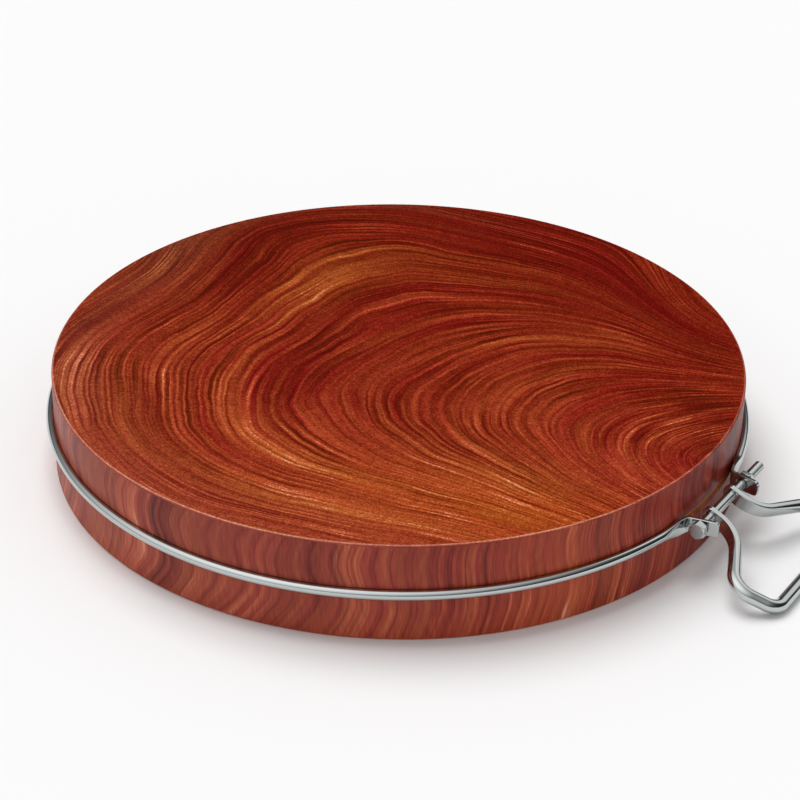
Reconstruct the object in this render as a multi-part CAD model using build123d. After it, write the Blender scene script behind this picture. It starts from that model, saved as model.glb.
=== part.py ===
from build123d import *
from math import acos, asin, atan2, cos, degrees, hypot, pi, radians, sin, sqrt, tan
import os

# Round end-grain chopping block with a clamped wire hoop and a hinged wire handle.
# Millimetres, and degrees for the values named turn or lean. The origin is the centre of the
# underside, +Z is up, and +X points from the block's axis through the middle of the handle.
# The handle lies down on the table.

# Turned hardwood block
block_diameter = 340.0
block_thickness = 50.5
block_edge_round = 1.2
groove_lip_round = 0.5

# Wire hoop, sunk in the groove at half height
wire_diameter = 5.0
wire_sink = 1.3
wire_seat_gap = 0.1

# Each end of the hoop: it leaves the groove straight, is beaten flat and bends out as an ear
hoop_round_run = 6.0
hoop_taper_run = 14.0
hoop_flat_run = 4.0
ear_thickness = 1.8
ear_edge_round = 0.4
ear_wall = 1.2
ear_hole_gap = 0.3
ear_lean = 10.0
ear_bend_radius = 2.6
ear_reach = 8.6
ear_corner_round = 2.0

# Hexagon bolt through the ears, parallel to Y
bolt_diameter = 5.0
bolt_tip_chamfer = 0.6
bolt_tip_past_nut = 14.6
head_height = 3.5
head_turn = -2.0
clamp_gap = 0.1

# Both hexagons, the bolt's head and the nut
hex_across_flats = 8.0
hex_side_gap = 0.85
hex_face_share = 0.92

# Thin hexagon nut that draws the ears together
nut_height = 2.7
nut_turn = 25.0
nut_thread_gap = 0.08

# Handle bent from one rod, its two ends beaten flat into eyes that hang on the bolt
rod_diameter = 6.7
eye_thickness = 2.8
eye_edge_round = 0.5
eye_wall = 1.1
eye_end_run = 0.8
eye_bore_gap = 0.1
eye_spacing = 22.2
eye_side_play = 9.1
table_gap = 0.05

# Bending schedule of half the handle, from the eye to the middle of the grip
eye_straight = 4.3
eye_flat_bend = 5.0
waist_bend_radius = 16.0
waist_turn = 62.7
leg_length = 16.8
shoulder_bend_radius = 10.0
shoulder_turn = 82.3
side_length = 7.7
grip_bend_radius = 8.0

# Shared by all cuts that run past a face, and the number of sections in the handle's taper
cut_overrun = 1.0
taper_sections = 7

# Sizes and places worked out from the ones above
block_radius = block_diameter / 2
wire_radius = wire_diameter / 2
hoop_radius = block_radius + wire_radius - wire_sink
axis_height = block_thickness / 2
bolt_radius = bolt_diameter / 2
ear_hole_radius = bolt_radius + ear_hole_gap
ear_height = 2 * (ear_hole_radius + ear_wall)
eye_bore_radius = bolt_radius + eye_bore_gap
eye_height = 2 * (eye_bore_radius + eye_wall)
ear_spacing = eye_spacing + eye_thickness + ear_thickness + 2 * eye_side_play
hex_corner_radius = hex_across_flats / sqrt(3)
hex_face_radius = hex_face_share * hex_across_flats / 2
ear_slope = tan(radians(ear_lean))
ear_face = ear_spacing / 2 + ear_thickness / 2 / cos(radians(ear_lean)) + clamp_gap
head_seat = ear_face + hex_corner_radius * ear_slope
nut_seat = ear_face + hex_face_radius * ear_slope
shank_length = head_seat + nut_seat + nut_height + bolt_tip_past_nut
rod_radius = rod_diameter / 2


def beaten_section(plane, flatness, diameter, thickness, height, edge_round):
    """Section of a round rod beaten flat: a circle at flatness 0, an eased strip at 1.

    It has two sides, two ends and four corners; x is the strip's thickness, y its height.
    """

    def blended(angle, flat_x, flat_y):
        """Point that moves from the circle at this angle to its place on the flat strip."""
        round_x = diameter / 2 * cos(radians(angle))
        round_y = diameter / 2 * sin(radians(angle))
        return round_x + (flat_x - round_x) * flatness, round_y + (flat_y - round_y) * flatness

    def edge(first, middle, last):
        """Arc, or a straight line where the strip is quite flat."""
        return Line(first, last) if flatness == 1 else ThreePointArc(first, middle, last)

    inner_x, inner_y = thickness / 2 - edge_round, height / 2 - edge_round
    bevel = edge_round * sqrt(2) / 2
    side_x, side_y = blended(30, thickness / 2, inner_y)
    corner_x, corner_y = blended(45, inner_x + bevel, inner_y + bevel)
    end_x, end_y = blended(60, inner_x, height / 2)
    middle_x = blended(0, thickness / 2, 0)[0]
    middle_y = blended(90, 0, height / 2)[1]
    outline = []
    for a in (1, -1):
        outline.append(edge((a * side_x, -a * side_y), (a * middle_x, 0), (a * side_x, a * side_y)))
        outline.append(edge((a * end_x, a * end_y), (0, a * middle_y), (-a * end_x, a * end_y)))
        for b in (a, -a):
            first, last = (b * side_x, a * side_y), (b * end_x, a * end_y)
            outline.append(ThreePointArc(first, (b * corner_x, a * corner_y), last))
    return plane * make_face(outline)


def hexagon_blank(height, round_both_faces):
    """Hexagon prism standing on z = 0 whose corners are turned down at its outer face or both."""
    chamfer_width = hex_corner_radius - hex_face_radius
    prism = extrude(RegularPolygon(hex_across_flats / 2, 6, major_radius=False), height)
    turned = Cylinder(hex_corner_radius, height, align=(Align.CENTER, Align.CENTER, Align.MIN))
    rims = turned.edges().filter_by(GeomType.CIRCLE).sort_by(Axis.Z)
    rims = rims if round_both_faces else rims[-1:]
    return prism & chamfer(rims, chamfer_width / 2, chamfer_width)


def make_block():
    """Disc turned about Z, with eased rims and a round groove for the wire at half height."""
    profile = Pos(block_radius / 2, axis_height) * Rectangle(block_radius, block_thickness)
    profile -= Pos(hoop_radius, axis_height) * Circle(wire_radius + wire_seat_gap)
    rims_and_lips = profile.vertices().group_by(Axis.X)[-1].sort_by(Axis.Y)
    profile = fillet([rims_and_lips[0], rims_and_lips[-1]], block_edge_round)
    groove_mouth = rims_and_lips[1:-1]
    lips = [profile.vertices().sort_by_distance(lip)[0] for lip in groove_mouth]
    profile = fillet(lips, groove_lip_round)
    return revolve(Plane.XZ * profile, Axis.Z)


def hoop_end_places():
    """Where the wire leaves its circle, its bend's corner, the bolt and the ear's tip, in plan.

    The straight run touches the circle. Its far corner lies beside the bolt, clear of the
    hexagons, on the ear's middle line, which leans towards the other ear.
    """
    run = hoop_round_run + hoop_taper_run + hoop_flat_run
    corner_radius = hypot(hoop_radius, run)
    beside_bolt = hex_corner_radius + hex_side_gap + ear_thickness / 2
    corner_y = ear_spacing / 2 + beside_bolt * ear_slope
    corner_x = sqrt(corner_radius**2 - corner_y**2)
    leave_angle = atan2(corner_y, corner_x) + acos(hoop_radius / corner_radius)
    bolt_x = corner_x + beside_bolt
    tip = (bolt_x + ear_reach, ear_spacing / 2 - ear_reach * ear_slope)
    return leave_angle, (corner_x, corner_y), bolt_x, tip


axis_reach = hoop_end_places()[2]


def make_hoop_end():
    """Straight run, beaten taper and bent ear of the wire's end on the +Y side."""
    leave_angle, corner, _, tip = hoop_end_places()
    outwards = (cos(leave_angle), sin(leave_angle), 0)
    along = (sin(leave_angle), -cos(leave_angle), 0)
    leave = Vector(hoop_radius * outwards[0], hoop_radius * outwards[1], axis_height)
    round_end = leave + Vector(along) * hoop_round_run
    taper_end = round_end + Vector(along) * hoop_taper_run
    leave_plane, round_plane, flat_plane = (
        Plane(origin=origin, x_dir=outwards, z_dir=along) for origin in (leave, round_end, taper_end)
    )
    wire_shape = (wire_diameter, ear_thickness, ear_height, ear_edge_round)
    round_section = beaten_section(round_plane, 0, *wire_shape)
    flat_section = beaten_section(flat_plane, 1, *wire_shape)
    strip_path = FilletPolyline(
        taper_end, (*corner, axis_height), (*tip, axis_height), radius=ear_bend_radius
    )
    end = extrude(leave_plane * Circle(wire_radius), hoop_round_run)
    end += loft([round_section, flat_section])
    end += sweep(flat_section, strip_path)
    return end - ear_corner_cuts(tip) - ear_hole_cut()


def ear_corner_cuts(tip):
    """What is cut off the ear's two outer corners to round them."""
    lean = radians(ear_lean)
    face = Plane(
        origin=(*tip, axis_height), x_dir=(cos(lean), -sin(lean), 0), z_dir=(sin(lean), cos(lean), 0)
    )
    cut_side = ear_corner_round + cut_overrun
    centre_y = ear_height / 2 - ear_corner_round
    corner = Rectangle(cut_side, cut_side, align=(Align.MIN, Align.MIN)) - Circle(ear_corner_round)
    high = Pos(-ear_corner_round, centre_y) * corner
    return extrude(face * (high + mirror(high, Plane.XZ)), ear_thickness, both=True)


def ear_hole_cut():
    """Bolt hole through one ear, along the bolt."""
    seat = Plane(origin=(axis_reach, ear_spacing / 2, axis_height), z_dir=(0, 1, 0))
    return extrude(seat * Circle(ear_hole_radius), ear_thickness + cut_overrun, both=True)


def make_hoop():
    """The wire's round part, turned about Z, with an ear end on either side of +X."""
    leave_angle = degrees(hoop_end_places()[0])
    section = Plane.XZ * Pos(hoop_radius, axis_height) * Circle(wire_radius)
    ring = Rot(0, 0, leave_angle) * revolve(section, Axis.Z, 360 - 2 * leave_angle)
    end = make_hoop_end()
    return ring + end + mirror(end, Plane.XZ)


def make_clamp_bolt():
    """Hexagon head outside the -Y ear and a plain shank to its chamfered tip."""
    shank = Cylinder(bolt_radius, shank_length, align=(Align.CENTER, Align.CENTER, Align.MIN))
    tip_edge = shank.edges().filter_by(GeomType.CIRCLE).sort_by(Axis.Z)[-1]
    shank = chamfer(tip_edge, bolt_tip_chamfer)
    head = Rot(180, 0, 0) * Rot(0, 0, -head_turn) * hexagon_blank(head_height, False)
    under_head = Plane(origin=(axis_reach, -head_seat, axis_height), x_dir=(1, 0, 0), z_dir=(0, 1, 0))
    return under_head * (shank + head)


def make_clamp_nut():
    """Hexagon nut outside the +Y ear, its thread drawn as a plain bore that runs on the bolt."""
    bore = Cylinder(bolt_radius + nut_thread_gap, 2 * (nut_height + cut_overrun))
    nut = Rot(0, 0, nut_turn) * hexagon_blank(nut_height, True) - bore
    seat = Plane(origin=(axis_reach, nut_seat, axis_height), x_dir=(1, 0, 0), z_dir=(0, 1, 0))
    return seat * nut


# Half the handle's middle line as runs of (length, curvature), left turns positive. It starts
# on the bolt's axis, heads away from it, and its last turn brings it parallel to the bolt.
waist_length = waist_bend_radius * radians(waist_turn)
shoulder_length = shoulder_bend_radius * radians(shoulder_turn)
grip_bend_length = grip_bend_radius * (pi / 2 + radians(waist_turn - shoulder_turn))
handle_runs = [
    (eye_straight, 0),
    (waist_length, -1 / waist_bend_radius),
    (leg_length, 0),
    (shoulder_length, 1 / shoulder_bend_radius),
    (side_length, 0),
    (grip_bend_length, 1 / grip_bend_radius),
]
taper_start = eye_straight + eye_flat_bend
taper_end = eye_straight + waist_length + leg_length


def rod_place(distance):
    """Place and heading of the rod's middle line, this far along it from the bolt's axis.

    The place is sideways from the handle's middle, then outwards from the bolt's axis.
    """
    x, y, heading = eye_spacing / 2, 0, pi / 2
    for length, curvature in handle_runs:
        step = min(distance, length)
        turned = heading + step * curvature
        if curvature:
            x += (sin(turned) - sin(heading)) / curvature
            y -= (cos(turned) - cos(heading)) / curvature
        else:
            x += step * cos(heading)
            y += step * sin(heading)
        heading = turned
        distance -= step
    return x, y, heading


def rod_path(start, stop):
    """Middle line from one distance to another as straight lines and arcs."""
    path = Curve()
    run_start = 0
    for length, curvature in handle_runs:
        low, high = max(start, run_start), min(stop, run_start + length)
        run_start += length
        if high <= low:
            continue
        first, middle, last = (rod_place(d)[:2] for d in (low, (low + high) / 2, high))
        path += ThreePointArc(first, middle, last) if curvature else Line(first, last)
    return path


def rod_plane(distance):
    """Plane square to the middle line; its x points to the outside of the waist bend."""
    x, y, heading = rod_place(distance)
    outside, ahead = (sin(heading), -cos(heading), 0), (cos(heading), sin(heading), 0)
    return Plane(origin=(x, y, 0), x_dir=outside, z_dir=ahead)


def rod_section(distance, flatness):
    """The rod's section at this distance, beaten to this flatness."""
    return beaten_section(
        rod_plane(distance), flatness, rod_diameter, eye_thickness, eye_height, eye_edge_round
    )


rod_end = sum(length for length, _ in handle_runs)
grip_half_length, handle_reach, _ = rod_place(rod_end)
handle_drop = asin((axis_height - rod_radius - table_gap) / handle_reach)


def make_handle_half():
    """Eye, taper, leg, shoulder and half of the grip, in the handle's own plane."""
    flat_eye = sweep(rod_section(0, 1), rod_path(0, taper_start))
    sections = []
    for step in range(taper_sections):
        share = step / (taper_sections - 1)
        sections.append(rod_section(taper_start + share * (taper_end - taper_start), 1 - share))
    taper = loft(sections)
    rod = sweep(rod_plane(taper_end) * Circle(rod_radius), rod_path(taper_end, rod_end))
    grip = extrude(rod_plane(rod_end) * Circle(rod_radius), grip_half_length)
    return make_eye_end() + flat_eye + taper + rod + grip


def make_eye_end():
    """End of the eye behind the bolt: a short straight run and then a half round."""
    section = beaten_section(Plane.XY, 1, rod_diameter, eye_thickness, eye_height, eye_edge_round)
    upper = section & Rectangle(eye_thickness, eye_height, align=(Align.CENTER, Align.MIN))
    half_round = Pos(eye_spacing / 2, -eye_end_run) * revolve(Plane.XZ * upper, Axis.X, 180)
    return extrude(rod_section(0, 1), -eye_end_run) + half_round


def make_handle():
    """Both halves of the handle, the bolt's bore through the eyes, laid down on the table."""
    half = make_handle_half()
    bore = Rot(0, 90, 0) * Cylinder(eye_bore_radius, eye_spacing + 2 * (eye_thickness + cut_overrun))
    hinge = Plane(
        origin=(axis_reach, 0, axis_height),
        x_dir=(0, -1, 0),
        z_dir=(sin(handle_drop), 0, cos(handle_drop)),
    )
    return hinge * (half + mirror(half, Plane.YZ) - bore)


parts = {
    "chopping_block": make_block(),
    "hoop": make_hoop(),
    "clamp_bolt": make_clamp_bolt(),
    "clamp_nut": make_clamp_nut(),
    "handle": make_handle(),
}

os.makedirs("parts", exist_ok=True)
for name, part in parts.items():
    part.label = name
    export_step(part, f"parts/{name}.step")
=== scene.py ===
from functools import partial

import bmesh
import bpy
import numpy as np
from mathutils import Matrix, Vector


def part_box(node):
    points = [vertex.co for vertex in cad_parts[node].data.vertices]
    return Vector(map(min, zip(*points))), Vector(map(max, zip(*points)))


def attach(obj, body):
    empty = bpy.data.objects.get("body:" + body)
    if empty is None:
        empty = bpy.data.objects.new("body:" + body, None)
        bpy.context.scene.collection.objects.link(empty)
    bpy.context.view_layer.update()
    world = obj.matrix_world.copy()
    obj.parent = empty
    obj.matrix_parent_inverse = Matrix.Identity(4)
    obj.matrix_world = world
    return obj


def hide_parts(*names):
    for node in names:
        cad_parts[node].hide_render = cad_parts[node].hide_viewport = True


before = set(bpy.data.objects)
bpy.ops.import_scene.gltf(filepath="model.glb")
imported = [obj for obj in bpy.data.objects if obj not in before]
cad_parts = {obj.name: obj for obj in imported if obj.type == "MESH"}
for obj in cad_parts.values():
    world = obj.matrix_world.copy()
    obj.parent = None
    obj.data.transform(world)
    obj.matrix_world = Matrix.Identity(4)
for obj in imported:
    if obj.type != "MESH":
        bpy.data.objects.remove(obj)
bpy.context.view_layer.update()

# Round end-grain chopping block, bound by a stainless wire hoop whose ends are flattened into
# ears. A bolt and a thin nut draw the ears together, and a bent rod handle swings on the bolt.
# Everything is in metres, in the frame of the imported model.

MM = 0.001

# Points nearer to each other than this are one point
WELD = 0.0005 * MM

# Block and groove
BLOCK_LOW, BLOCK_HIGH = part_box("chopping_block")
BLOCK_RADIUS = (BLOCK_HIGH[0] - BLOCK_LOW[0]) / 2
BLOCK_TOP = BLOCK_HIGH[2]
AXIS_HEIGHT = BLOCK_TOP / 2
RIM_ROUND = 1.2 * MM
LIP_ROUND = 0.5 * MM

# Wire hoop and its beaten ears
WIRE_RADIUS = 2.5 * MM
WIRE_SINK = 1.3 * MM
SEAT_GAP = 0.1 * MM
HOOP_RADIUS = BLOCK_RADIUS + WIRE_RADIUS - WIRE_SINK
ROUND_RUN = 6.0 * MM
TAPER_RUN = 14.0 * MM
FLAT_RUN = 4.0 * MM
EAR_THICKNESS = 1.8 * MM
EAR_HEIGHT = 8.0 * MM
EAR_EDGE = 0.4 * MM
EAR_SPACING = 45.0 * MM
EAR_SLOPE = np.tan(np.radians(10.0))
EAR_BEND = 2.6 * MM
EAR_REACH = 8.6 * MM
EAR_CORNER = 2.0 * MM
EAR_HOLE_RADIUS = 2.8 * MM
HOLE_CUT_LENGTH = 6.0 * MM

# Points along half the hoop: on its circle, straight run, bend, ear and the ear's corner, and the
# angle of the corner's last point but one
CIRCLE_POINTS = 260
STRAIGHT_POINTS = 40
BEND_POINTS = 18
EAR_POINTS = 10
CORNER_POINTS = 14
CORNER_SWEEP = np.radians(78.0)

# Hexagons of the bolt's head and the nut
HEX_FLATS = 8.0 * MM
HEX_CORNER_REACH = HEX_FLATS / np.sqrt(3)
HEX_FACE_SHARE = 0.92
HEX_FACE_RADIUS = HEX_FACE_SHARE * HEX_FLATS / 2
HEX_CORNER_EASE = 0.25 * MM
HEX_SIDE_GAP = 0.85 * MM
HEX_EDGE_EASE = 0.12 * MM

# Bolt and nut. How far each is turned about the bolt's axis is in degrees.
BOLT_RADIUS = 2.5 * MM
HEAD_HEIGHT = 3.5 * MM
HEAD_TURN = -2.0
SHANK_FOOT = 0.15 * MM
SHANK_FOOT_EASE = 0.05 * MM
SHANK_START = 1.0 * MM
SHANK_ROWS = 12
NUT_HEIGHT = 2.7 * MM
NUT_TURN = 25.0
NUT_BORE_RADIUS = 2.58 * MM
NUT_MOUTH = 0.4 * MM
BOLT_PAST_NUT = 14.6 * MM
THREAD_PITCH = 0.8 * MM
THREAD_DEPTH = 0.28 * MM
THREAD_LENGTH = 20.0 * MM
THREAD_ROWS = 240
TIP_CHAMFER = 0.5 * MM
TIP_EASE = 0.2 * MM
CLAMP_GAP = 0.1 * MM

# Handle: one rod with two beaten eyes. Half of it is a row of (length, curvature) runs from
# the bolt's axis outwards, where a left turn is positive.
ROD_RADIUS = 3.35 * MM
EYE_THICKNESS = 2.8 * MM
EYE_HEIGHT = 7.4 * MM
EYE_EDGE = 0.5 * MM
EYE_END_RUN = 0.8 * MM
EYE_SPACING = 22.2 * MM
EYE_BORE_RADIUS = 2.6 * MM
EYE_STRAIGHT = 4.3 * MM
EYE_FLAT_BEND = 5.0 * MM
EYE_ROWS = 16
EYE_END_ROWS = 40
ROD_ROWS = 150
WAIST_BEND = 16.0 * MM
WAIST_TURN = np.radians(62.7)
LEG = 16.8 * MM
SHOULDER_BEND = 10.0 * MM
SHOULDER_TURN = np.radians(82.3)
SIDE = 7.7 * MM
GRIP_BEND = 8.0 * MM
TABLE_GAP = 0.05 * MM
HANDLE_RUNS = [
    (EYE_STRAIGHT, 0),
    (WAIST_BEND * WAIST_TURN, -1 / WAIST_BEND),
    (LEG, 0),
    (SHOULDER_BEND * SHOULDER_TURN, 1 / SHOULDER_BEND),
    (SIDE, 0),
    (GRIP_BEND * (np.pi / 2 + WAIST_TURN - SHOULDER_TURN), 1 / GRIP_BEND),
]


def piece(name, points, wrap_columns=False):
    """Mesh over a grid of points: each cell is a quad, and its rows may close on themselves.

    Points that fall together, as at a pole or a seam, become one, and the faces turn outwards.
    """
    rows, columns = points.shape[:2]
    number = np.arange(rows * columns).reshape(rows, columns)
    if wrap_columns:
        number = np.hstack([number, number[:, :1]])
    corners = [number[:-1, :-1], number[1:, :-1], number[1:, 1:], number[:-1, 1:]]
    quads = np.stack(corners, -1).reshape(-1, 4)
    mesh = bpy.data.meshes.new(name)
    mesh.from_pydata(points.reshape(-1, 3).tolist(), [], quads.tolist())
    made = bmesh.new()
    made.from_mesh(mesh)
    bmesh.ops.remove_doubles(made, verts=made.verts, dist=WELD)
    bmesh.ops.recalc_face_normals(made, faces=made.faces)
    made.to_mesh(mesh)
    made.free()
    mesh.shade_smooth()
    placed = bpy.data.objects.new(name, mesh)
    bpy.context.scene.collection.objects.link(placed)
    return placed


def eased(corners, ease, steps=4):
    """Rows through a run of corners, with each corner between the ends eased.

    An eased corner is the parabola that leaves the run at the ease's distance before the corner
    and joins it again as far behind it: (1-t)^2 before + 2t(1-t) corner + t^2 behind.
    """
    rows = [corners[0]]
    for i in range(1, len(corners) - 1):
        back, ahead = corners[i - 1] - corners[i], corners[i + 1] - corners[i]
        back = back / np.linalg.norm(back, axis=-1, keepdims=True)
        ahead = ahead / np.linalg.norm(ahead, axis=-1, keepdims=True)
        for t in np.linspace(0, 1, steps):
            before, behind = corners[i] + back * ease[i], corners[i] + ahead * ease[i]
            rows.append((1 - t) ** 2 * before + 2 * t * (1 - t) * corners[i] + t**2 * behind)
    rows.append(corners[-1])
    return np.array(rows)


def arc(centre, radius, start, stop, steps):
    """Points (across, up) on a circle's arc, from one angle in degrees to another."""
    turn = np.radians(np.linspace(start, stop, steps))
    return np.stack([centre[0] + radius * np.cos(turn), centre[1] + radius * np.sin(turn)], -1)


def turned(profile, segments):
    """Points of a profile of (radius, height) rows carried round the Z axis."""
    turn = np.linspace(0, 2 * np.pi, segments, endpoint=False)
    radius, height = profile[:, :1], profile[:, 1:]
    flat = np.zeros_like(turn)
    return np.stack([radius * np.cos(turn), radius * np.sin(turn), height + flat], -1)


def give(made, name, values):
    """Stores one number for each vertex under a name that a material reads."""
    made.data.attributes.new(name, "FLOAT", "POINT").data.foreach_set("value", values)


def vertices(made):
    """The vertices of a piece as an array of places."""
    flat = np.empty(len(made.data.vertices) * 3)
    made.data.vertices.foreach_get("co", flat)
    return flat.reshape(-1, 3)


def bored(made, centre, radius, length):
    """Cuts a round hole along Y through a piece."""
    half = length / 2
    outline = np.array([[0, -half], [radius, -half], [radius, half], [0, half]])
    cutter = piece("cutter", turned(outline, segments=96), wrap_columns=True)
    cutter.data.transform(Matrix.Translation(centre) @ Matrix.Rotation(np.pi / 2, 4, "X"))
    cut = made.modifiers.new("hole", "BOOLEAN")
    cut.operation, cut.solver, cut.object = "DIFFERENCE", "EXACT", cutter
    with bpy.context.temp_override(object=made, active_object=made):
        bpy.ops.object.modifier_apply(modifier=cut.name)
    bpy.data.objects.remove(cutter)


def join(made, added):
    """Adds one mesh to another, welds them where they meet and turns the faces outwards."""
    whole = bmesh.new()
    whole.from_mesh(made.data)
    whole.from_mesh(added.data)
    bmesh.ops.remove_doubles(whole, verts=whole.verts, dist=WELD)
    bmesh.ops.recalc_face_normals(whole, faces=whole.faces)
    whole.to_mesh(made.data)
    whole.free()
    bpy.data.objects.remove(added)
    made.data.shade_smooth()


def firm_flats(made):
    """Keeps flat faces flat to the eye beside their small eased edges."""
    weigh = made.modifiers.new("firm flats", "WEIGHTED_NORMAL")
    weigh.weight, weigh.keep_sharp = 60, True


# How the trunk grew. A ring's age is the distance from the pith in millimetres, measured longer
# across the trunk's long axis, with swellings of the Gaussian form where it grew unevenly. Each
# is (place in plan), how far it moves the rings, and its spread.
PITH = (191.0, -4.0)
LONG_AXIS = np.radians(199.0)
ACROSS_SHARE = 0.63
SWELLINGS = [
    ((144.0, 167.0), 340.0, 42.5),
    ((-116.0, 146.0), -102.0, 82.0),
    ((151.0, -145.0), 102.0, 107.0),
    ((-6.0, -13.0), 13.0, 58.0),
    ((-150.0, -65.0), -19.0, 57.0),
    ((-178.0, 71.0), -37.0, 46.0),
    ((147.0, 0.0), 60.0, 85.0),
]

# The trunk's lean for each millimetre down. On the way down the rings also sway to and fro: how
# far in millimetres, and how many millimetres a radian of that wave takes.
TRUNK_LEAN = (0.06, -0.04)
SWAY = 2.2
SWAY_HEIGHT = 7.0

# How fast the rings' age grows along the sides, for each millimetre round the block
SIDE_CUT = 0.5

# The sides against the top: how much lighter at half height, how much darker for each millimetre
# up as painted bounce light that leaves the lower side lighter, how much redder and paler, what
# share of the golden patches they keep, and how far their fibres still look like the end grain's
# pores
SIDE_LIGHTER = 0.035
SIDE_PAINTED_BOUNCE_SLOPE = 0.0022
SIDE_REDDER = 0.3
SIDE_PALER = 0.02
SIDE_GOLDEN_SHARE = 0.3
SIDE_END_GRAIN = 0.35

# Painted highlight along the eased edges, as lighter and paler wood, and the groove, lighter and more
# golden
EDGE_PAINTED_HIGHLIGHT = 0.34
EDGE_HIGHLIGHT_PALER = 0.10
GROOVE_LIGHTER = 0.20
GROOVE_GOLDEN = 2.0

# Rows of points: from the middle of each flat face to its edge, up a side, over a rim and a lip,
# and down half the groove. Then the points round the block.
UNDERSIDE_ROWS = 80
TOP_ROWS = 150
SIDE_ROWS = 9
RIM_ROWS = 7
LIP_ROWS = 5
GROOVE_ROWS = 9
ROUND_THE_BLOCK = 330

# Patches of the figure, as a ring's age and how far round the pith in degrees, the spread of
# both, and how much lighter, more golden and paler the wood is there. The last also paints shade
# on the side away from the lamp.
FIGURE = [
    (330, -30, 150, 34, 0.07, 0.0, 0.01),
    (320, 66, 150, 22, -0.11, -0.3, 0.0),
    (320, 38, 50, 16, -0.07, 0.0, 0.0),
    (285, 9, 22, 9, -0.05, 0.0, 0.0),
    (252, -33, 30, 14, 0.10, 0.5, -0.02),
    (228, -18, 12, 8, 0.05, 0.6, 0.0),
    (266, -10, 5, 10, 0.09, 0.4, 0.0),
    (288, -20, 4, 8, 0.09, 0.4, 0.0),
    (165, -12, 18, 14, 0.07, -0.2, 0.0),
    (256, 8, 6, 7, -0.12, -0.6, 0.0),
    (276, 30, 6, 6, 0.15, 0.9, 0.0),
    (284, 45, 2, 9, 0.10, 0.5, 0.0),
    (269, 42, 2, 7, 0.05, 0.4, 0.0),
    (230, 50, 4, 11, 0.08, 0.5, 0.0),
    (210, 28, 4, 20, 0.07, 0.4, 0.0),
    (252, 28, 8, 10, -0.04, -0.3, 0.0),
    (306, 35, 5, 5, -0.15, -0.2, 0.0),
    (304, 26, 6, 5, -0.10, -0.3, 0.0),
    (310, 64, 14, 12, -0.10, -0.4, 0.0),
    (330, 11, 6, 4, -0.14, 0.2, 0.02),
    (318, 2, 7, 5, 0.07, 0.2, 0.03),
    (336, 28, 14, 10, -0.03, 0.9, 0.05),
    (326, 47, 3, 7, 0.06, 0.5, 0.02),
    (330, -14, 22, 14, 0.02, 0.2, 0.03),
    (130, 4, 16, 14, -0.06, -0.4, 0.0),
    # Darker round the pith: partly the wood's colour there, partly painted shade on the side away from
    # the lamp
    (85, 10, 45, 90, -0.07, -0.3, 0.01),
]


def grain(places):
    """Age of the growth ring at each place, and its angle round the pith in degrees."""
    x, y, z = (places / MM).T
    below = BLOCK_TOP / MM - z
    sway = SWAY * np.sin(below / SWAY_HEIGHT)
    x, y = x - TRUNK_LEAN[0] * below + sway, y - TRUNK_LEAN[1] * below + sway
    along = (x - PITH[0]) * np.cos(LONG_AXIS) + (y - PITH[1]) * np.sin(LONG_AXIS)
    across = (x - PITH[0]) * np.sin(LONG_AXIS) - (y - PITH[1]) * np.cos(LONG_AXIS)
    age = np.hypot(along, across / ACROSS_SHARE)
    for centre, rise, width in SWELLINGS:
        apart = np.hypot(x - centre[0], y - centre[1])
        age = age + rise * np.exp(-((apart / width) ** 2) / 2)
    return age, np.degrees(np.arctan2(across, along))


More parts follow.
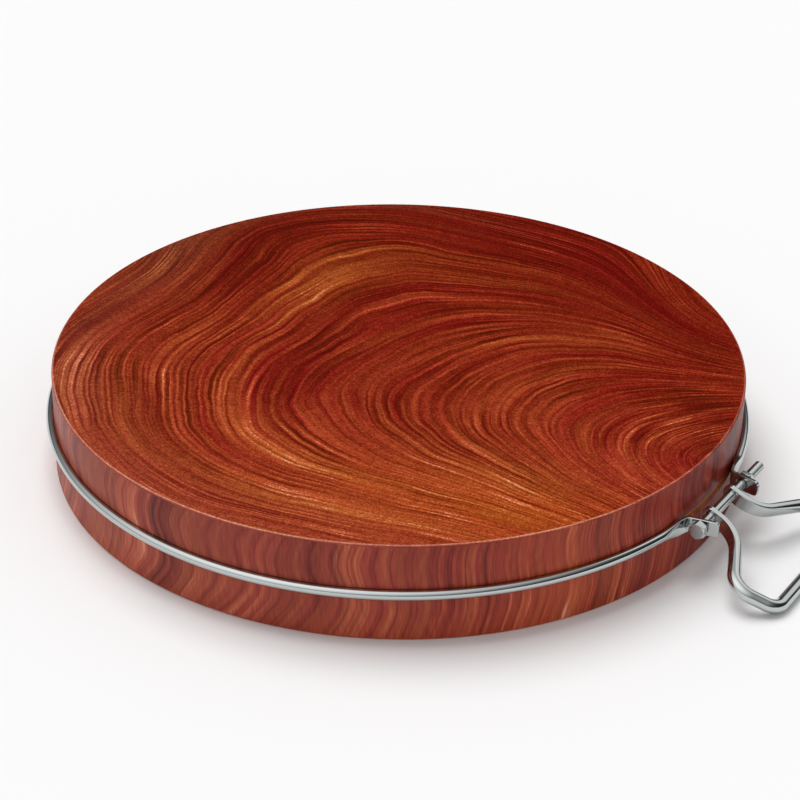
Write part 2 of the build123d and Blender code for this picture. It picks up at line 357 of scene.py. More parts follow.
def make_block():
    """Turned disc: its half profile runs from the middle of the underside to the middle of the top.

    The groove is the arc of a circle a little larger than the wire, between two lips that are
    arcs as well, each touching the side and the groove. Each vertex also carries what the wood's
    figure is there, the painted highlight along the eased edges and the painted bounce light low
    on the sides.
    """
    groove = np.array([HOOP_RADIUS, AXIS_HEIGHT])
    groove_radius = WIRE_RADIUS + SEAT_GAP
    reach_up = groove_radius + LIP_ROUND
    lip_across = BLOCK_RADIUS - LIP_ROUND
    lip_up = np.sqrt(reach_up**2 - (HOOP_RADIUS - lip_across) ** 2)
    lean = np.degrees(np.arcsin(lip_up / reach_up))
    flat_edge, side = BLOCK_RADIUS - RIM_ROUND, BLOCK_RADIUS
    level = np.linspace(0, 1, SIDE_ROWS)[1:-1, None]
    lower_side = np.hstack([side + 0 * level, RIM_ROUND + (AXIS_HEIGHT - lip_up - RIM_ROUND) * level])
    lower_half = np.vstack([
        np.linspace([0, 0], [flat_edge, 0], UNDERSIDE_ROWS),
        arc((flat_edge, RIM_ROUND), RIM_ROUND, -90, 0, RIM_ROWS)[1:],
        lower_side,
        arc((lip_across, AXIS_HEIGHT - lip_up), LIP_ROUND, 0, lean, LIP_ROWS),
        arc(groove, groove_radius, 180 + lean, 180, GROOVE_ROWS)[1:],
    ])
    upper_half = lower_half[::-1][1:] * [1, -1] + [0, BLOCK_TOP]
    top_start = len(upper_half) - UNDERSIDE_ROWS
    top = np.linspace([flat_edge, BLOCK_TOP], [0, BLOCK_TOP], TOP_ROWS)
    profile = np.vstack([lower_half, upper_half[:top_start], top])
    block = piece("end_grain_block", turned(profile, ROUND_THE_BLOCK), wrap_columns=True)
    places = vertices(block)
    age, sweep = grain(places)
    reach = np.hypot(places[:, 0], places[:, 1])
    lighter, golden, paler = np.zeros((3, len(places)))
    for ring, turn, ring_spread, turn_spread, *gifts in FIGURE:
        near = np.exp(-(((age - ring) / ring_spread) ** 2 + ((sweep - turn) / turn_spread) ** 2) / 2)
        lighter, golden, paler = (v + gift * near for v, gift in zip((lighter, golden, paler), gifts))
    give(block, "ring_sweep", age * np.radians(sweep))
    on_side = np.clip((reach - flat_edge) / RIM_ROUND, 0, 1)
    in_groove = np.clip((side - reach) / LIP_ROUND, 0, 1) * (abs(places[:, 2] - AXIS_HEIGHT) < reach_up)
    on_side = np.maximum(on_side, in_groove)
    # Painted highlight: the middle of each eased edge's rounding is made lighter and paler
    edge_highlight = (4 * on_side * (1 - on_side)) ** 2
    round_pith = abs(np.arctan2(places[:, 1], places[:, 0])) * BLOCK_RADIUS / MM
    give(block, "ring_age", age + SIDE_CUT * round_pith * on_side)
    # Painted bounce light from the floor: the sides are lighter low down and darker for each millimetre
    # up
    above_groove = (places[:, 2] - AXIS_HEIGHT) / MM
    lighter = lighter + (SIDE_LIGHTER - SIDE_PAINTED_BOUNCE_SLOPE * above_groove) * on_side
    give(block, "lighter", lighter + EDGE_PAINTED_HIGHLIGHT * edge_highlight + GROOVE_LIGHTER * in_groove)
    golden = golden * (1 - (1 - SIDE_GOLDEN_SHARE) * on_side) - SIDE_REDDER * on_side
    give(block, "golden", golden + GROOVE_GOLDEN * in_groove)
    give(block, "paler", paler + SIDE_PALER * on_side + EDGE_HIGHLIGHT_PALER * edge_highlight)
    give(block, "end_grain", 1 - (1 - SIDE_END_GRAIN) * on_side)
    firm_flats(block)
    return block


def beaten(flatness, radius, thickness, height, edge, around=72):
    """Sections of a round rod beaten flat, one for each flatness from 0 to 1.

    Each point of the circle moves in a straight line to its place on a strip with eased edges:
    the first and last third of every quarter turn to the strip's sides, the middle one to an edge.
    """
    turn = np.linspace(0, 2 * np.pi, around, endpoint=False)
    third = np.degrees(np.arctan2(abs(np.sin(turn)), abs(np.cos(turn)))) / 30
    corner = np.clip(third - 1, 0, 1) * np.pi / 2
    flatness, height = flatness[:, None], height[:, None]
    x = (thickness / 2 - edge) * np.clip(3 - third, 0, 1) + edge * np.cos(corner)
    y = (height / 2 - edge) * np.clip(third, 0, 1) + edge * np.sin(corner)
    x, y = x * np.sign(np.cos(turn)), y * np.sign(np.sin(turn))
    round_x, round_y = radius * np.cos(turn), radius * np.sin(turn)
    return round_x + (x - round_x) * flatness, round_y + (y - round_y) * flatness


def hoop_end_places():
    """The hoop's end on the +Y side: the angle where it leaves the circle, its bend's corner in
    plan, how far out the bolt is, and the ear's tip in plan."""
    run = ROUND_RUN + TAPER_RUN + FLAT_RUN
    beside_bolt = HEX_CORNER_REACH + HEX_SIDE_GAP + EAR_THICKNESS / 2
    corner_reach = np.hypot(HOOP_RADIUS, run)
    corner_y = EAR_SPACING / 2 + beside_bolt * EAR_SLOPE
    corner_x = np.sqrt(corner_reach**2 - corner_y**2)
    leave = np.arctan2(corner_y, corner_x) + np.arccos(HOOP_RADIUS / corner_reach)
    bolt_x = corner_x + beside_bolt
    tip = np.array([bolt_x + EAR_REACH, EAR_SPACING / 2 - EAR_REACH * EAR_SLOPE])
    return leave, np.array([corner_x, corner_y]), bolt_x, tip


LEAVE_ANGLE, EAR_BEND_CORNER, AXIS_REACH, EAR_TIP = hoop_end_places()
AXIS_PLACE = Vector((AXIS_REACH, 0, AXIS_HEIGHT))


def hoop_half_path():
    """Plan points of half the hoop from its far side to the ear's tip.

    They follow the circle to where the wire leaves it, the straight run along its tangent, the
    bend's arc, and the ear, where they crowd towards the tip as the sine of an even angle.
    """
    circle = arc((0, 0), HOOP_RADIUS, 180, np.degrees(LEAVE_ANGLE), CIRCLE_POINTS)
    leave = circle[-1]
    along = (EAR_BEND_CORNER - leave) / np.linalg.norm(EAR_BEND_CORNER - leave)
    out = (EAR_TIP - EAR_BEND_CORNER) / np.linalg.norm(EAR_TIP - EAR_BEND_CORNER)
    turn = np.arccos(along @ out)
    cut = EAR_BEND * np.tan(turn / 2)
    bend_start, bend_stop = EAR_BEND_CORNER - along * cut, EAR_BEND_CORNER + out * cut
    side = np.array([-along[1], along[0]])
    way = np.sign(side @ out)
    centre = bend_start + side * EAR_BEND * way
    spoke = bend_start - centre
    angles = np.linspace(0, turn, BEND_POINTS) * way
    bend = centre + np.stack([
        spoke[0] * np.cos(angles) - spoke[1] * np.sin(angles),
        spoke[0] * np.sin(angles) + spoke[1] * np.cos(angles),
    ], -1)
    straight = np.linspace(leave, bend_start, STRAIGHT_POINTS)
    ear = np.linspace(bend_stop, EAR_TIP - out * EAR_CORNER, EAR_POINTS)
    ease = EAR_CORNER * np.sin(np.linspace(0, CORNER_SWEEP, CORNER_POINTS))[:, None]
    corner = EAR_TIP - out * EAR_CORNER + out * ease
    return np.vstack([circle[:-1], straight[:-1], bend[:-1], ear[:-1], corner, EAR_TIP[None]])


def make_hoop():
    """Wire swept along its plan path; towards each end its section is beaten flat into the ear.

    The ear's height falls at its tip as a circle does, which rounds its two corners.
    """
    points = hoop_half_path()
    step = np.diff(points, axis=0)
    heading = np.vstack([step[:1], step[:-1] + step[1:], step[-1:]])
    heading /= np.linalg.norm(heading, axis=1, keepdims=True)
    length = np.concatenate([[0], np.cumsum(np.linalg.norm(step, axis=1))])
    total = length[-1]
    taper_start = total - np.linalg.norm(EAR_TIP - EAR_BEND_CORNER) - FLAT_RUN - TAPER_RUN
    share = np.clip((length - taper_start) / TAPER_RUN, 0, 1)
    flatness = share**2 * (3 - 2 * share)
    into_corner = np.clip(length - (total - EAR_CORNER), 0, EAR_CORNER)
    height = EAR_HEIGHT - 2 * (EAR_CORNER - np.sqrt(EAR_CORNER**2 - into_corner**2))
    x, y = beaten(flatness, WIRE_RADIUS, EAR_THICKNESS, height, EAR_EDGE)
    outwards = np.stack([-heading[:, 1], heading[:, 0]], -1)
    plan = points[:, None, :] + outwards[:, None, :] * x[..., None]
    half = np.concatenate([plan, AXIS_HEIGHT + y[..., None]], -1)
    end = np.broadcast_to(half[-1].mean(axis=0), (1,) + half.shape[1:])
    half = np.concatenate([half, end])
    other = half[::-1] * [1, -1, 1]
    hoop = piece("wire_hoop", np.concatenate([other[:-1], half]), wrap_columns=True)
    for side in (1, -1):
        bored(hoop, (AXIS_REACH, side * EAR_SPACING / 2, AXIS_HEIGHT), EAR_HOLE_RADIUS, HOLE_CUT_LENGTH)
    firm_flats(hoop)
    return hoop


def hexagon_reach(turn):
    """Distance from the axis to a hexagon with eased corners, in each direction.

    Along a flat it is the half width over the cosine of the angle from the flat's middle. Near a
    corner it is the far side of a small circle that touches both flats.
    """
    off_flat = (turn + np.pi / 6) % (np.pi / 3) - np.pi / 6
    off_corner = turn % (np.pi / 3) - np.pi / 6
    centre = HEX_CORNER_REACH - HEX_CORNER_EASE / np.sin(np.pi / 3)
    touch = np.arctan2(HEX_CORNER_EASE / 2, centre + HEX_CORNER_EASE * np.cos(np.pi / 6))
    room = np.maximum(HEX_CORNER_EASE**2 - (centre * np.sin(off_corner)) ** 2, 0)
    eased_corner = centre * np.cos(off_corner) + np.sqrt(room)
    return np.where(abs(off_corner) < touch, eased_corner, HEX_FLATS / 2 / np.cos(off_flat))


def hexagon_turns():
    """Directions round the axis that crowd at the hexagon's six corners.

    In each sixth they are even steps less 0.8 of a sine wave with one period from corner to corner.
    """
    even = np.linspace(0, 1, 24, endpoint=False)
    crowded = even - 0.8 * np.sin(2 * np.pi * even) / (2 * np.pi)
    return np.concatenate([(k + 0.5 + crowded) * np.pi / 3 for k in range(6)])


def ring(radius, height, turn):
    """Corner row of (radius, height) that may differ from one direction to the next."""
    flat = np.zeros_like(turn)
    return np.stack([radius + flat, height + flat], -1)


def round_the_bolt(rows, turn, turned_by, seat):
    """Places of rows of (radius, distance along the bolt), from a seat on the bolt's axis along +Y."""
    radius, height = rows[..., 0], rows[..., 1]
    angle = turn + np.radians(turned_by)
    x = AXIS_REACH + radius * np.cos(angle)
    z = AXIS_HEIGHT + radius * np.sin(angle)
    return np.stack([x, seat + height, z], -1)


def ear_face():
    """How far the middle of an ear's outer face is from the middle plane, at the bolt."""
    lean = np.arctan(EAR_SLOPE)
    return EAR_SPACING / 2 + EAR_THICKNESS / 2 / np.cos(lean) + CLAMP_GAP


HEAD_SEAT = -(ear_face() + HEX_CORNER_REACH * EAR_SLOPE)
NUT_SEAT = ear_face() + HEX_FACE_RADIUS * EAR_SLOPE
BOLT_TIP = NUT_SEAT + NUT_HEIGHT + BOLT_PAST_NUT


def make_bolt():
    """Hexagon head, shank and thread as rows round the bolt's axis.

    The thread's radius falls below the shank's by its depth times ((1-cos)/2)^2 of the distance
    along the bolt less the share of a turn, which makes one helix with broad crests. The depth
    grows from nothing over the thread's first two turns.
    """
    turn = hexagon_turns()
    reach = hexagon_reach(turn)
    face = -HEAD_HEIGHT
    chamfer_end = face + (reach - HEX_FACE_RADIUS) / 2
    head = eased(
        np.array([
            ring(0, face, turn),
            ring(HEX_FACE_RADIUS, face, turn),
            ring(reach, chamfer_end, turn),
            ring(reach, 0, turn),
            ring(BOLT_RADIUS + SHANK_FOOT, 0, turn),
            ring(BOLT_RADIUS, SHANK_FOOT, turn),
        ]),
        [0, HEX_EDGE_EASE, HEX_EDGE_EASE, HEX_EDGE_EASE, SHANK_FOOT_EASE, 0],
    )
    length = BOLT_TIP - HEAD_SEAT
    thread_start = length - THREAD_LENGTH
    shank = np.linspace(SHANK_START, thread_start, SHANK_ROWS)
    plain = np.array([ring(BOLT_RADIUS, height, turn) for height in shank])
    along = np.linspace(thread_start, length - TIP_CHAMFER, THREAD_ROWS)[1:, None]
    phase = (along / THREAD_PITCH - turn / (2 * np.pi)) % 1
    wave = (0.5 - 0.5 * np.cos(2 * np.pi * phase)) ** 2
    fade = np.clip((along - thread_start) / (2 * THREAD_PITCH), 0, 1)
    thread = np.stack([BOLT_RADIUS - THREAD_DEPTH * wave * fade, along + 0 * turn], -1)
    tip_radius = BOLT_RADIUS - TIP_CHAMFER
    tip = eased(
        np.array([thread[-1], ring(tip_radius, length, turn), ring(0, length, turn)]),
        [0, TIP_EASE, 0],
    )[1:]
    rows = np.concatenate([head, plain, thread, tip])
    bolt = piece("clamp_bolt_turned", round_the_bolt(rows, turn, HEAD_TURN, HEAD_SEAT), wrap_columns=True)
    firm_flats(bolt)
    return bolt


def make_nut():
    """Hexagon with both faces turned down at the corners, and a bore with eased mouths."""
    turn = hexagon_turns()
    reach = hexagon_reach(turn)
    drop = (reach - HEX_FACE_RADIUS) / 2
    corners = np.array([
        ring(NUT_BORE_RADIUS, NUT_HEIGHT / 2, turn),
        ring(NUT_BORE_RADIUS, NUT_MOUTH, turn),
        ring(NUT_BORE_RADIUS + NUT_MOUTH, 0, turn),
        ring(HEX_FACE_RADIUS, 0, turn),
        ring(reach, drop, turn),
        ring(reach, NUT_HEIGHT - drop, turn),
        ring(HEX_FACE_RADIUS, NUT_HEIGHT, turn),
        ring(NUT_BORE_RADIUS + NUT_MOUTH, NUT_HEIGHT, turn),
        ring(NUT_BORE_RADIUS, NUT_HEIGHT - NUT_MOUTH, turn),
        ring(NUT_BORE_RADIUS, NUT_HEIGHT / 2, turn),
    ])
    rows = eased(corners, [HEX_EDGE_EASE] * len(corners))
    nut = piece("clamp_nut_hexagon", round_the_bolt(rows, turn, NUT_TURN, NUT_SEAT), wrap_columns=True)
    firm_flats(nut)
    return nut


def rod_line(distances):
    """Sideways place, outward place and heading of the handle's middle line at each distance.

    A straight run moves by its length along the heading. A bend moves by the difference of the
    sines, and of the cosines, of its headings over its curvature.
    """
    x = np.full_like(distances, EYE_SPACING / 2)
    y = np.zeros_like(distances)
    heading = np.full_like(distances, np.pi / 2)
    start = 0
    for length, curvature in HANDLE_RUNS:
        step = np.clip(distances - start, 0 if start else -EYE_END_RUN, length)
        turned_to = heading + step * curvature
        if curvature:
            x = x + (np.sin(turned_to) - np.sin(heading)) / curvature
            y = y - (np.cos(turned_to) - np.cos(heading)) / curvature
        else:
            x = x + step * np.cos(heading)
            y = y + step * np.sin(heading)
        heading = turned_to
        start += length
    return x, y, heading


ROD_END = sum(length for length, curvature in HANDLE_RUNS)
HANDLE_REACH = float(rod_line(np.array([ROD_END]))[1][0])
HANDLE_DROP = np.arcsin((AXIS_HEIGHT - ROD_RADIUS - TABLE_GAP) / HANDLE_REACH)


def make_handle():
    """Rod swept along its bent line, beaten flat towards the eyes, whose ends are half discs.

    A half disc is the strip's upper half turned half a turn about the bolt's axis.
    """
    taper_start = EYE_STRAIGHT + EYE_FLAT_BEND
    taper_end = EYE_STRAIGHT + WAIST_BEND * WAIST_TURN + LEG
    distances = np.concatenate([
        np.linspace(-EYE_END_RUN, taper_start, EYE_ROWS),
        np.linspace(taper_start, ROD_END, ROD_ROWS)[1:],
    ])
    share = np.clip((taper_end - distances) / (taper_end - taper_start), 0, 1)
    height = np.full_like(share, EYE_HEIGHT)
    section_x, section_y = beaten(share, ROD_RADIUS, EYE_THICKNESS, height, EYE_EDGE)
    x, y, heading = (v[:, None] for v in rod_line(distances))
    rod = np.stack([x + section_x * np.sin(heading), y - section_x * np.cos(heading), section_y], -1)
    middle = rod[-1] * [0, 1, 1]
    rod = np.concatenate([rod, middle[None]])
    upper = slice(section_x.shape[1] // 2 + 1)
    turn = np.linspace(0, np.pi, EYE_END_ROWS)[:, None]
    across, up = section_x[0, upper], section_y[0, upper]
    disc = np.stack([
        EYE_SPACING / 2 + across + 0 * turn,
        -EYE_END_RUN - up * np.sin(turn),
        up * np.cos(turn),
    ], -1)
    handle = piece("rod_handle", rod, wrap_columns=True)
    cap = piece("eye_end", disc)
    join(handle, cap)
    mirrored = handle.data.copy()
    mirrored.transform(Matrix.Scale(-1, 4, (1, 0, 0)))
    other = bpy.data.objects.new("other_half", mirrored)
    bpy.context.scene.collection.objects.link(other)
    join(handle, other)
    drop_cos, drop_sin = np.cos(HANDLE_DROP), np.sin(HANDLE_DROP)
    lay_down = Matrix((
        (0, drop_cos, drop_sin, AXIS_PLACE.x),
        (-1, 0, 0, AXIS_PLACE.y),
        (0, -drop_sin, drop_cos, AXIS_PLACE.z),
        (0, 0, 0, 1),
    ))
    handle.data.transform(lay_down)
    bored(handle, tuple(AXIS_PLACE), EYE_BORE_RADIUS, 2 * EYE_SPACING)
    firm_flats(handle)
    return handle


def linear(hex_colour):
    """Linear red, green, blue and alpha of an sRGB colour written in hex."""
    channels = [int(hex_colour[i : i + 2], 16) / 255 for i in (1, 3, 5)]
    return [c / 12.92 if c < 0.04045 else ((c + 0.055) / 1.055) ** 2.4 for c in channels] + [1]


def add_node(tree, kind, *inputs, out=0, **settings):
    """Adds a node and returns one of its outputs.

    Inputs fill its sockets in order. Settings are its properties, or sockets by name with _ for
    a space. A socket that is given an output of another node is linked to it.
    """
    node = tree.nodes.new("ShaderNode" + kind)
    for name, value in [*enumerate(inputs), *settings.items()]:
        if isinstance(name, str) and hasattr(node, name):
            setattr(node, name, value)
            continue
        socket = node.inputs[name.replace("_", " ") if isinstance(name, str) else name]
        if isinstance(value, bpy.types.NodeSocket):
            tree.links.new(value, socket)
        else:
            socket.default_value = value
    return None if out is None else node.outputs[out]


def new_material(name):
    """An empty node material with a Principled shader on its output, and what adds its nodes."""
    material = bpy.data.materials.new(name)
    material.use_nodes = True
    tree = material.node_tree
    tree.nodes.clear()
    add = partial(add_node, tree)
    shader = add("BsdfPrincipled").node
    add("OutputMaterial", shader.outputs["BSDF"], out=None)
    return material, tree, shader, add


# The wood's colours by tone, from its darkest lines to its lightest streaks
WOOD_TONES = [
    (0.12, "#4e1405"), (0.27, "#62190a"), (0.40, "#741f0d"), (0.50, "#842b16"),
    (0.60, "#95361c"), (0.74, "#ad4926"), (0.88, "#c96338"), (1.00, "#e6a183"),
]

# The tone between the streaks and lines
BASE_TONE = 0.51

# Size in millimetres of the places where the figure is bolder or fainter
BOLD_PATCH = 40

# Waves that carry the rings off their true curves: size and swing in millimetres
RING_WAVES = [(60, 8), (22, 2.0), (8, 0.5)]

# Streaks along the rings: how wide, how long before they change, in millimetres, how much
# lighter or darker, how much more golden or redder, and how many times stronger on the sides
RING_STREAKS = [
    (24, 150, 0.09, 0.6, 3.0), (9, 120, 0.19, 0.8, 2.6), (4, 120, 0.22, 1.0, 2.3),
    (2, 110, 0.34, 1.4, 0.8), (1.1, 90, 0.84, 1.4, 0.3),
]

# How far apart in the noise each kind of streak is read, so that no two are alike
STREAK_APART = 3.7

# Growth lines: spacing in millimetres and how dark. A line fades over a share of its spacing,
# and a power makes most lines fainter than the boldest. They come and go over these distances
# across the rings and along them, in millimetres.
GROWTH_LINES = [(6.2, 0.24), (2.8, 0.26)]
LINE_SHARE = 0.3
LINE_POWER = 1.3
LINE_PATCH = (14, 130)

# Hatching across the rings: how long and how wide its strokes are, in millimetres, how strong it
# is, and how much stronger on gold. The wood's own strokes are about 0.3 mm wide, too fine for
# the picture, and are drawn four times as wide.
HATCH = (5, 1.2)
HATCH_STRENGTH = 0.15
HATCH_ON_GOLD = 0.1

# How far a golden place's hue turns towards yellow, and where a red place's hue stops. At 0.5
# the hue stays as it is.
GOLDEN_TURN = 0.011
REDDEST_HUE = 0.493

# How strong the polish on the turned sides is
SIDE_POLISH = 0.45

# Fibres and pores: width in millimetres, how many times longer up the trunk, and how strong.
# The finest pores are about 0.2 mm wide, and are drawn four times as wide to show.
FIBRES = [(5, 4, 0.12), (1.8, 6, 0.20), (0.8, 12, 0.62)]


def wood_material():
    """Oiled end-grain hardwood in brick red, orange and dark brown.

    The top was planed, sanded and rubbed with oil, and knives keep it matte, so it shows its
    colours without a gleam. The sides were turned on a lathe and polished, so they pick up a
    pale sheen at a slant. Streaks follow the trunk's growth rings, with thin dark growth lines
    between them. Golden patches show a hatching across the rings. Fibres run up the trunk, so
    they fleck the top and streak the sides.
    """
    material, tree, shader, add = new_material("oiled_end_grain_hardwood")
    place = add("TexCoord", out="Object")
    age = add("Attribute", attribute_name="ring_age", out="Fac")
    sweep = add("Attribute", attribute_name="ring_sweep", out="Fac")
    # Lighter and paler carry the figure, and also the painted highlight on the eased edges and the
    # painted bounce light low on the sides
    lighter = add("Attribute", attribute_name="lighter", out="Fac")
    golden = add("Attribute", attribute_name="golden", out="Fac")
    paler = add("Attribute", attribute_name="paler", out="Fac")
    end_grain = add("Attribute", attribute_name="end_grain", out="Fac")
    for size, swing in RING_WAVES:
        coarse = 1 / (size * MM)
        wave = add("Mapping", Vector=place, Scale=(coarse, coarse, coarse))
        wave = add("TexNoise", Vector=wave, Scale=1.0, Detail=1.0)
        age = add("Math", wave, swing, age, operation="MULTIPLY_ADD")
    flow = add("CombineXYZ", age, sweep, 0.0)

    bold = add("TexNoise", Vector=place, Scale=1 / (BOLD_PATCH * MM), Detail=1.0)
    bold = add("MapRange", bold, 0.35, 0.65, 0.5, 1.5)
    tone = add("Math", lighter, BASE_TONE, operation="ADD")
    for number, (width, run, light, gold, on_side) in enumerate(RING_STREAKS):
        streak = add(
            "Mapping",
            Vector=flow,
            Location=(0, 0, STREAK_APART * number),
            Scale=(1 / width, 1 / run, 1),
        )
        streak = add("TexNoise", Vector=streak, Scale=1.0, Detail=1.0, out="Color")
        streak = add("SeparateXYZ", streak).node
        change = add("Math", streak.outputs["X"], 0.5, operation="SUBTRACT")
        strength = add("MapRange", end_grain, SIDE_END_GRAIN, 1.0, on_side, 1.0)
        strength = add("Math", strength, bold, operation="MULTIPLY")
        change = add("Math", change, strength, operation="MULTIPLY")
        tone = add("Math", change, light, tone, operation="MULTIPLY_ADD")
        change = add("Math", streak.outputs["Y"], 0.5, operation="SUBTRACT")
        golden = add("Math", change, gold, golden, operation="MULTIPLY_ADD")

    for spacing, depth in GROWTH_LINES:
        count = add("Math", age, 1 / spacing, operation="MULTIPLY")
        behind = add("Math", count, operation="FRACT")
        line = add("MapRange", behind, 0.0, LINE_SHARE, 1.0, 0.0, interpolation_type="SMOOTHSTEP")
        own = add("Math", count, operation="FLOOR")
        own = add("TexWhiteNoise", noise_dimensions="1D", W=own)
        own = add("Math", own, LINE_POWER, operation="POWER")
        across, along = LINE_PATCH
        patchy = add(
            "Mapping", Vector=flow, Location=(0, 0, spacing), Scale=(1 / across, 1 / along, 1)
        )
        patchy = add("TexNoise", Vector=patchy, Scale=1.0, Detail=1.0)
        patchy = add("MapRange", patchy, 0.35, 0.60, 0.0, 1.0)
        line = add("Math", line, own, operation="MULTIPLY")
        line = add("Math", line, patchy, operation="MULTIPLY")
        line = add("Math", line, bold, operation="MULTIPLY")
        tone = add("Math", line, -depth, tone, operation="MULTIPLY_ADD")

    hatch_length, hatch_width = HATCH
    hatch = add("Mapping", Vector=flow, Scale=(1 / hatch_length, 1 / hatch_width, 1))
    hatch = add("TexNoise", Vector=hatch, Scale=1.0, Detail=1.0)
    hatch = add("Math", hatch, 0.5, operation="SUBTRACT")
    hatch_share = add("Math", golden, HATCH_ON_GOLD, HATCH_STRENGTH, operation="MULTIPLY_ADD")
    tone = add("Math", hatch, hatch_share, tone, operation="MULTIPLY_ADD")
    for width, stretch, strength in FIBRES:
        fine = 1 / (width * MM)
        fibre = add("Mapping", Vector=place, Scale=(fine, fine, fine / stretch))
        fibre = add("TexNoise", Vector=fibre, Scale=1.0, Detail=1.0)
        fibre = add("Math", fibre, 0.5, operation="SUBTRACT")
        fibre = add("Math", fibre, end_grain, operation="MULTIPLY")
        tone = add("Math", fibre, strength, tone, operation="MULTIPLY_ADD")

    ramp = add("ValToRGB", tone).node
    stops = ramp.color_ramp.elements
    stops.remove(stops[0])
    stops[0].position = WOOD_TONES[0][0]
    for position, colour in WOOD_TONES[1:]:
        stops.new(position)
    for stop, (position, colour) in zip(stops, WOOD_TONES):
        stop.color = linear(colour)
    hue = add("Math", golden, GOLDEN_TURN, 0.5, operation="MULTIPLY_ADD")
    hue = add("Math", hue, REDDEST_HUE, operation="MAXIMUM")
    saturation = add("Math", 1.0, paler, operation="SUBTRACT")
    colour = add("HueSaturation", Hue=hue, Saturation=saturation, Color=ramp.outputs[0])
    tree.links.new(colour, shader.inputs["Base Color"])

    shader.inputs["Specular IOR Level"].default_value = 0.0
    shader.inputs["Roughness"].default_value = 0.6
    polish = add("MapRange", end_grain, SIDE_END_GRAIN, 1.0, SIDE_POLISH, 0.0)
    tree.links.new(polish, shader.inputs["Coat Weight"])
    shader.inputs["Coat Roughness"].default_value = 0.25
    bump = add("Bump", Strength=0.3, Distance=0.03 * MM, Height=tone)
    tree.links.new(bump, shader.inputs["Normal"])
    return material


# Size of the faint marks from handling on the steel
HANDLING_MARKS = 0.8 * MM


def steel_material(name, colour, roughness):
    """Stainless steel, drawn through a die or turned, then buffed.

    It gives the eye a clean mirror, a little blurred by fine scratches, and a faint unevenness
    from handling. The scratches are too fine to draw and are left to the roughness.
    """
    material, tree, shader, add = new_material(name)
    shader.inputs["Base Color"].default_value = linear(colour)
    shader.inputs["Metallic"].default_value = 1.0
    place = add("TexCoord", out="Object")
    wear = add("TexNoise", Vector=place, Scale=1 / HANDLING_MARKS, Detail=3.0)
    rough = add("MapRange", wear, 0.3, 0.7, roughness * 0.9, roughness * 1.1)
    tree.links.new(rough, shader.inputs["Roughness"])
    return material


def dress(made, body, node, material):
    """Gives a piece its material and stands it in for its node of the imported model."""
    made.data.materials.clear()
    made.data.materials.append(material)
    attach(made, body)
    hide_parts(node)


wood = wood_material()
wire_steel = steel_material("bright_drawn_stainless", "#bbc0bf", 0.11)
rod_steel = steel_material("buffed_stainless_rod", "#c0c5c4", 0.12)
fastener_steel = steel_material("turned_stainless", "#bbc0bf", 0.16)

dress(make_block(), "block", "chopping_block", wood)
dress(make_hoop(), "block", "hoop", wire_steel)
dress(make_bolt(), "block", "clamp_bolt", fastener_steel)
dress(make_nut(), "nut", "clamp_nut", fastener_steel)
dress(make_handle(), "handle", "handle", rod_steel)


# The floor it is shown on
FLOOR_RADIUS = 4.0
FLOOR_WHITE = "#f6f6f6"


def make_floor():
    """Plain pale floor, wide enough to fill the view."""
    rim = turned(np.array([[0, 0], [FLOOR_RADIUS, 0]]), segments=64)
    floor = piece("floor", rim, wrap_columns=True)
    material, _, shader, _ = new_material("matte_white_floor")
    shader.inputs["Base Color"].default_value = linear(FLOOR_WHITE)
    shader.inputs["Roughness"].default_value = 0.9
    shader.inputs["Specular IOR Level"].default_value = 0.0
    floor.data.materials.append(material)
    for face in floor.data.polygons:
        if face.normal.z < 0:
            floor.data.flip_normals()
            break


# The lamp: the way it lies, how wide it looks and how strong it is
LAMP_PLACE = (-0.55, 0.25, 1.5)
LAMP_WIDTH = np.radians(46.0)
LAMP_STRENGTH = 1.9

# The light tent: the way to its bright side, how bright it is there and opposite, the way to a
# reflector, where its edge fades as cosines of the angle from it, and how bright it is, and
# between which heights the white wall ends
TENT_SIDE = (-0.2553, -0.4644, 0.848)
TENT_STRENGTH = 1.5
TENT_SHADE = 0.03
REFLECTOR = (0.183, 0.744, 0.643)
REFLECTOR_EDGE = (0.88, 0.98)
REFLECTOR_STRENGTH = 0.9
WALL_TOP = (0.05, 0.10)

# The light that matte surfaces get from all sides
EVEN_LIGHT = 0.5


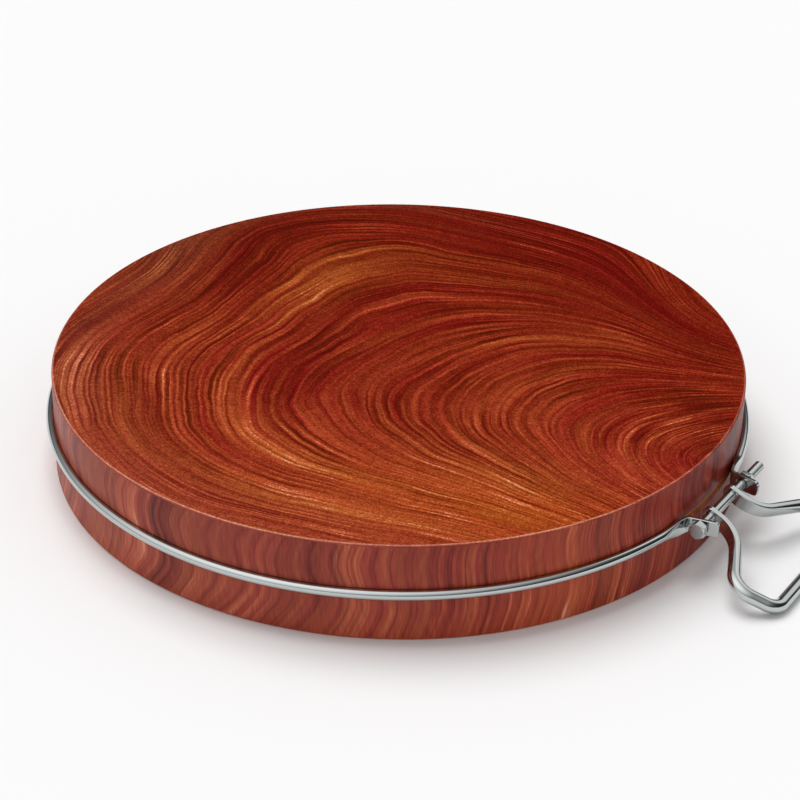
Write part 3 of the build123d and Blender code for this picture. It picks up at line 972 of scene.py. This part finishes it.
def light_the_room():
    """Wide soft lamp overhead, and a light tent: a low white wall, and above it a bright side.

    The eye and the metal see the tent. The matte surfaces get the same light from all sides.
    """
    light = bpy.data.lights.new("overhead_softbox", "SUN")
    light.energy, light.angle = LAMP_STRENGTH, LAMP_WIDTH
    lamp = bpy.data.objects.new("overhead_softbox", light)
    lamp.visible_glossy = False
    lamp.rotation_euler = Vector(LAMP_PLACE).to_track_quat("Z", "Y").to_euler()
    bpy.context.scene.collection.objects.link(lamp)

    world = bpy.data.worlds.new("studio")
    bpy.context.scene.world = world
    world.use_nodes = True
    tree = world.node_tree
    tree.nodes.clear()
    add = partial(add_node, tree)
    towards = add("TexCoord", out="Generated")
    facing = add("VectorMath", towards, TENT_SIDE, operation="DOT_PRODUCT", out="Value")
    tent = add("Math", facing, 0.0, operation="MAXIMUM")
    tent = add("Math", tent, 2.0, operation="POWER")
    tent = add("Math", tent, TENT_STRENGTH, TENT_SHADE, operation="MULTIPLY_ADD")
    facing = add("VectorMath", towards, REFLECTOR, operation="DOT_PRODUCT", out="Value")
    edge = (*REFLECTOR_EDGE, 0.0, REFLECTOR_STRENGTH)
    glow = add("MapRange", facing, *edge, interpolation_type="SMOOTHSTEP")
    tent = add("Math", tent, glow, operation="ADD")
    height = add("SeparateXYZ", towards).node.outputs["Z"]
    wall = add("MapRange", height, *WALL_TOP, 1.0, 0.0, interpolation_type="SMOOTHSTEP")
    tent = add("Math", tent, wall, operation="MAXIMUM")
    rays = add("LightPath").node.outputs
    seen = add("Math", rays["Is Camera Ray"], rays["Is Glossy Ray"], operation="MAXIMUM")
    seen = add("Math", seen, rays["Is Transmission Ray"], operation="MAXIMUM")
    room = add("Background", (1, 1, 1, 1), tent)
    even = add("Background", (1, 1, 1, 1), EVEN_LIGHT)
    mixed = add("MixShader", seen, even, room)
    add("OutputWorld", mixed, out=None)


# The camera: its place, the way it looks as degrees round from +X and down, its roll in degrees,
# and its sensor and lens in millimetres
CAMERA_PLACE = (0.58565, -0.96567, 0.68367)
CAMERA_HEADING = 121.194
CAMERA_PITCH = 30.2496
CAMERA_ROLL = 0.9476
SENSOR_WIDTH = 36.0
LENS_LENGTH = 118.37


def place_camera():
    """Camera where the photograph was taken from, with its slight roll to the left."""
    lens = bpy.data.cameras.new("camera")
    lens.sensor_width, lens.lens = SENSOR_WIDTH, LENS_LENGTH
    camera = bpy.data.objects.new("camera", lens)
    bpy.context.scene.collection.objects.link(camera)
    bpy.context.scene.camera = camera
    camera.location = CAMERA_PLACE
    heading, pitch, roll = np.radians((CAMERA_HEADING, CAMERA_PITCH, CAMERA_ROLL))
    forward = Vector((np.cos(heading) * np.cos(pitch), np.sin(heading) * np.cos(pitch), -np.sin(pitch)))
    turned_to = forward.to_track_quat("-Z", "Y")
    camera.rotation_mode = "QUATERNION"
    camera.rotation_quaternion = turned_to @ Matrix.Rotation(roll, 3, "Z").to_quaternion()
    lens.clip_start, lens.clip_end = 0.05, 30


make_floor()
light_the_room()
place_camera()
bpy.context.scene.view_settings.view_transform = "Standard"
